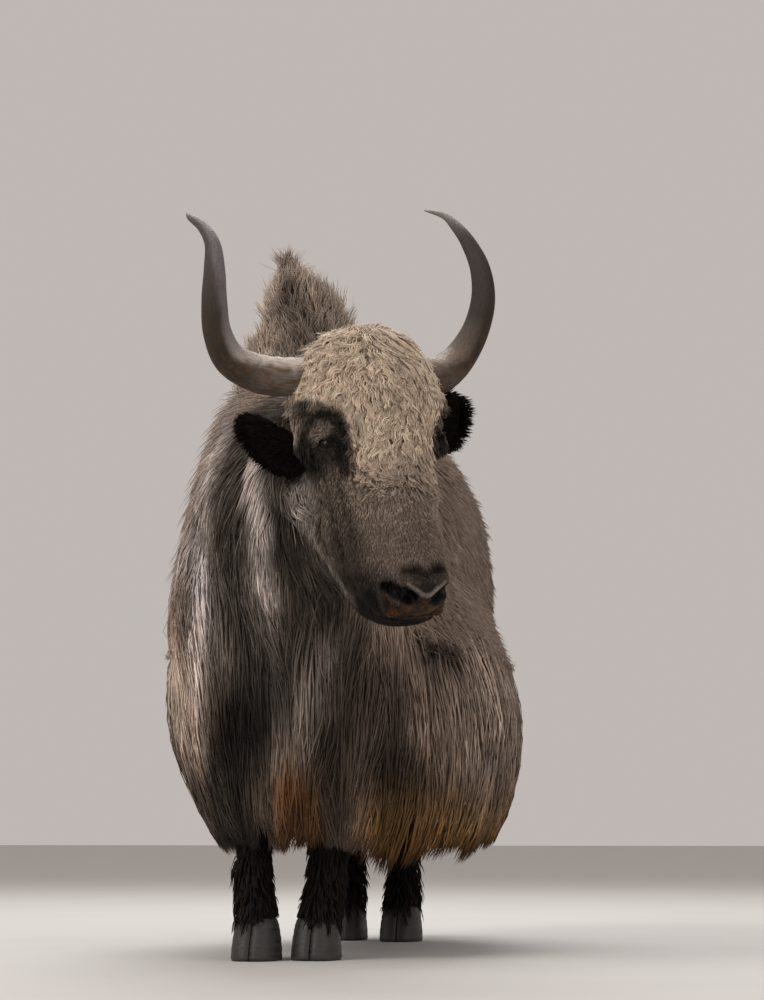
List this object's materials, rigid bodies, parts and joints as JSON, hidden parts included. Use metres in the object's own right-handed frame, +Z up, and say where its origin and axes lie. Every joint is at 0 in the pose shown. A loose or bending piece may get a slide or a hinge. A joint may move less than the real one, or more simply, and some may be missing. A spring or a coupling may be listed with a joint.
{
  "type": "yak",
  "caption": "Standing bull yak with its head lowered and turned to its left, curved horns and a long hanging coat, as a still life-size model.",
  "frame": {"origin": "on the floor, under the middle of the whole box around the animal", "axes": "+Z up, -Y the way the trunk faces, +X the animal's left"},
  "size_m": [0.7972, 1.794, 1.5095],
  "materials": {
    "body_coat": "dense soft hair lying back and down, grey-tan with dark and pale streaks",
    "face_coat": "short woolly curls, cream-tan over the forehead and grey-brown on the nose and cheeks",
    "skirt_coat": "long straight hair in hanging locks, grey-tan above and rust-brown to dark below",
    "leg_coat": "short shaggy hair, near black",
    "tail_coat": "long straight hair, dark brown",
    "ear_coat": "short soft hair, near black",
    "nose": "moist pebbled skin with very short hair around it, black-brown",
    "horn": "keratin, satin, grey-brown with fine streaks and a paler base",
    "hoof": "keratin, dull, near black",
    "eye": "wet and glossy, dark brown"
  },
  "bodies": {
    "root": {"barrel": "body_coat", "chest": "body_coat", "claw_fore_left_inner": "hoof", "claw_fore_left_outer": "hoof", "claw_fore_right_inner": "hoof", "claw_fore_right_outer": "hoof", "claw_hind_left_inner": "hoof", "claw_hind_left_outer": "hoof", "claw_hind_right_inner": "hoof", "claw_hind_right_outer": "hoof", "ear_left": "ear_coat", "ear_right": "ear_coat", "eye_left": "eye", "eye_right": "eye", "foreleg_lower_left": "leg_coat", "foreleg_lower_right": "leg_coat", "foreleg_upper_left": "leg_coat", "foreleg_upper_right": "leg_coat", "head": "face_coat", "hindleg_lower_left": "leg_coat", "hindleg_lower_right": "leg_coat", "hindleg_upper_left": "leg_coat", "hindleg_upper_right": "leg_coat", "horn_left": "horn", "horn_right": "horn", "hump": "body_coat", "muzzle": "nose", "neck": "body_coat", "rump": "body_coat", "skirt_flank_left": "skirt_coat", "skirt_flank_right": "skirt_coat", "skirt_fore_left": "skirt_coat", "skirt_fore_right": "skirt_coat", "skirt_hind_left": "skirt_coat", "skirt_hind_right": "skirt_coat", "tail_dock": "tail_coat", "tail_switch": "tail_coat"}
  },
  "joints": []
}
